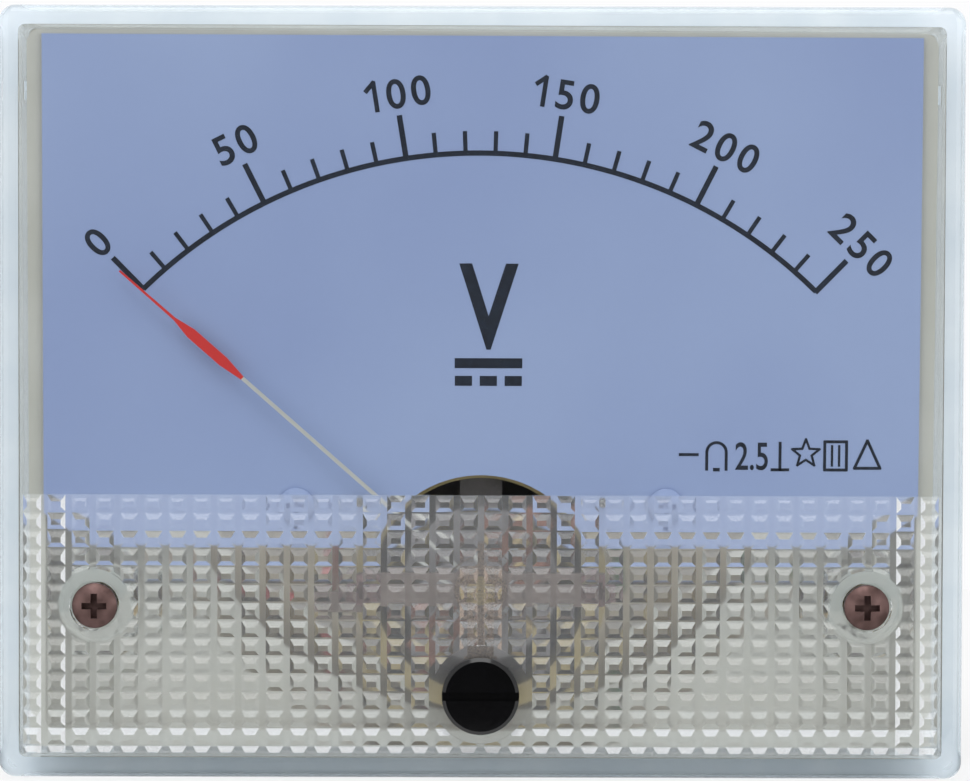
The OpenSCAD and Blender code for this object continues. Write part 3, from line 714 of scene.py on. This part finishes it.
panelStud = {"x": 33, "z": 25, "r": 1.5, "core": 1.2, "pitch": 0.5, "end": 14,
             "head": (2.5, -2.2, -0.9), "root": (1.9, -0.95, 0)}


def makePanelStuds():  # M3 steel studs moulded into the flange by a round head
    s = panelStud
    parts = turned([s["head"], s["root"], (s["r"], -0.05, 0.5), (s["core"], 0.45, s["end"] - 0.4)])
    parts.append(chamfer(s["core"], s["end"] - 0.4, 0.4))
    parts.append(threadRidge(0, 0, s["r"], s["pitch"], 0.3, s["end"] - 0.2))
    model = smooth(joined(parts, "stud"), 35)
    return joined(placed(model, [(x, z) for x in (-s["x"], s["x"]) for z in (-s["z"], s["z"])]), "panelStuds")


finishPiece(makePanelStuds(), nodeFinish["panel_studs"], "case", "zinc_steel", "panel_studs")

polarity = {"x": 14, "z": -10.5, "y": (41.8, 42.35), "long": 4.2, "wide": 0.9}


def makePolarityMarks():  # a raised plus and minus on the back of the case, under their terminals
    s = polarity
    (y0, y1), r, w = s["y"], s["long"] / 2, s["wide"] / 2
    bars = [addBox(-s["x"] - r, -s["x"] + r, y0, y1, s["z"] - w, s["z"] + w),
            addBox(s["x"] - r, s["x"] + r, y0, y1, s["z"] - w, s["z"] + w)]
    combine(bars[0], addBox(-s["x"] - w, -s["x"] + w, y0, y1, s["z"] - r, s["z"] + r), "UNION")
    for bar in bars:
        edit(bar, "EDGE")
        pick(bar, lambda a, b: a.y > y1 - 0.01 and b.y > y1 - 0.01, "edges")
        bpy.ops.mesh.bevel(offset=0.12 * mm, segments=2, affect="EDGES")
        done()
    return joined(bars, "polarityMarks")


finishPiece(makePolarityMarks(), nodeFinish["rear_case"], "case", "case_plastic")

terminalStud = {"x": 14, "headR": 4.04, "head": (36.6, 38.6), "core": (1.8, 38.5, 52), "r": 2.0,
                "threadCore": 1.6, "pitch": 0.7, "end": 60}


def makeTerminalStuds():  # M4 brass studs with a hexagon head inside the case
    s = terminalStud
    hexagon = addRod(0, 0, s["headR"], *s["head"], 6)
    hexagon.rotation_euler = (0, radians(30), 0)
    settle(hexagon)
    neck = s["core"][2]
    parts = [hexagon] + turned([s["core"], (s["r"], neck - 0.02, neck + 0.3),
                                (s["threadCore"], neck, s["end"] - 0.4)])
    parts.append(chamfer(s["threadCore"], s["end"] - 0.4, 0.4))
    parts.append(threadRidge(0, 0, s["r"], s["pitch"], neck, s["end"] - 0.2))
    model = smooth(joined(parts, "terminal"), 35)
    return joined(placed(model, [(-s["x"], 0), (s["x"], 0)]), "terminalStuds")


finishPiece(makeTerminalStuds(), nodeFinish["terminal_studs"], "case", "brass", "terminal_studs")
print("threaded studs made")

# Floor, light and camera

studio = {"floorR": 120, "floorAt": (0, 75, -32.1), "floorWhite": 0.75, "overheadSize": 0.75,
          "overheadAt": (0, -0.34, 0.76), "overheadPower": 3.2, "sideSize": 0.8, "sideAt": (0.62, -0.62, 0.06),
          "leftPower": 1.75, "rightPower": 1.85, "plainLight": 0.78}

bpy.ops.mesh.primitive_circle_add(vertices=96, radius=studio["floorR"] * mm, fill_type="NGON",
                                  location=[v * mm for v in studio["floorAt"]])
floor = name(bpy.context.object, "floor")
floorPaper, tree, shader, place = newMaterial("floorPaper", Base_Color=colour("E9E9E6"), Roughness=0.8)
tree.links.new(mottle(tree, place, 60, "E6E6E3", "ECECEA"), shader.inputs["Base Color"])
path = addNode(tree, "LightPath")
seen = addNode(tree, "Math", {"operation": "MAXIMUM"}, _0=path.outputs["Is Camera Ray"],
               _1=path.outputs["Is Glossy Ray"])
lift = addNode(tree, "Math", {"operation": "MULTIPLY"}, _0=seen.outputs["Value"],
               _1=studio["floorWhite"])
white = addNode(tree, "Emission", Color=colour("FDFDFE"), Strength=1.0)
mix = addNode(tree, "MixShader", Fac=lift.outputs["Value"], _1=shader.outputs["BSDF"],
              _2=white.outputs["Emission"])
tree.links.new(mix.outputs["Shader"], tree.nodes["Material Output"].inputs["Surface"])
floor.data.materials.append(floorPaper)


def addLamp(title, size, at, power):  # a round softbox that points at the meter
    bpy.ops.object.light_add(type="AREA", location=at)
    lamp = bpy.context.object
    lamp.name = title
    lamp.data.shape = "DISK"
    lamp.data.size = size
    lamp.data.energy = power
    lamp.rotation_euler = (-Vector(at)).to_track_quat("-Z", "Y").to_euler()
    return lamp


addLamp("overheadLamp", studio["overheadSize"], studio["overheadAt"], studio["overheadPower"])
for side, power in ((-1, studio["leftPower"]), (1, studio["rightPower"])):
    x, y, z = studio["sideAt"]
    addLamp("sideLamp", studio["sideSize"], (side * x, y, z), power)

world = bpy.data.worlds.new("studio")
bpy.context.scene.world = world
world.use_nodes = True
sky = world.node_tree
path = addNode(sky, "LightPath")
across = addNode(sky, "SeparateXYZ", Vector=addNode(sky, "TexCoord").outputs["Generated"])
# mirrored and refracted rays see the white backdrop behind, and a room in front that is dark round the camera
above = addNode(sky, "MapRange", Value=across.outputs["Z"], From_Min=0.05, From_Max=0.9)
aside = addNode(sky, "MapRange", Value=across.outputs["Y"], From_Min=-1.0, From_Max=-0.75, To_Min=0.04,
                To_Max=0.7)
room = addNode(sky, "Math", {"operation": "MAXIMUM"}, _0=above.outputs["Result"], _1=aside.outputs["Result"])
behind = addNode(sky, "MapRange", Value=across.outputs["Y"], From_Min=-0.25, From_Max=0.1)
shown = addNode(sky, "Mix", {"data_type": "FLOAT"}, Factor=behind.outputs["Result"],
                _2=room.outputs["Value"], _3=1.0)
mirrored = addNode(sky, "Math", {"operation": "MAXIMUM"}, _0=path.outputs["Is Glossy Ray"],
                   _1=path.outputs["Is Transmission Ray"])
level = addNode(sky, "Mix", {"data_type": "FLOAT"}, Factor=mirrored.outputs["Value"],
                _2=studio["plainLight"], _3=shown.outputs[0])
strength = addNode(sky, "Mix", {"data_type": "FLOAT"}, Factor=path.outputs["Is Camera Ray"],
                   _2=level.outputs[0], _3=1.0)
backdrop = sky.nodes["Background"]
backdrop.inputs["Color"].default_value = colour("FDFDFE")
sky.links.new(strength.outputs[0], backdrop.inputs["Strength"])

view = {"distance": 300, "yaw": -0.15, "lift": 1.7, "roll": 0.18, "aim": (0.295, 0.229), "frameW": 80.19}
cameraData = bpy.data.cameras.new("camera")
camera = bpy.data.objects.new("camera", cameraData)
bpy.context.collection.objects.link(camera)
cameraData.lens = 36 * view["distance"] / view["frameW"]
cameraData.clip_start = 0.01
target = Vector((view["aim"][0], frontY, view["aim"][1])) * mm
yaw, lift = radians(view["yaw"]), radians(view["lift"])
towards = Vector((sin(yaw) * cos(lift), -cos(yaw) * cos(lift), sin(lift)))
camera.location = target + towards * view["distance"] * mm
camera.rotation_mode = "QUATERNION"
camera.rotation_quaternion = (-towards).to_track_quat("-Z", "Y") @ Matrix.Rotation(
    radians(view["roll"]), 3, "Z").to_quaternion()
bpy.context.scene.camera = camera
bpy.context.scene.view_settings.view_transform = "Standard"
print("stage set")
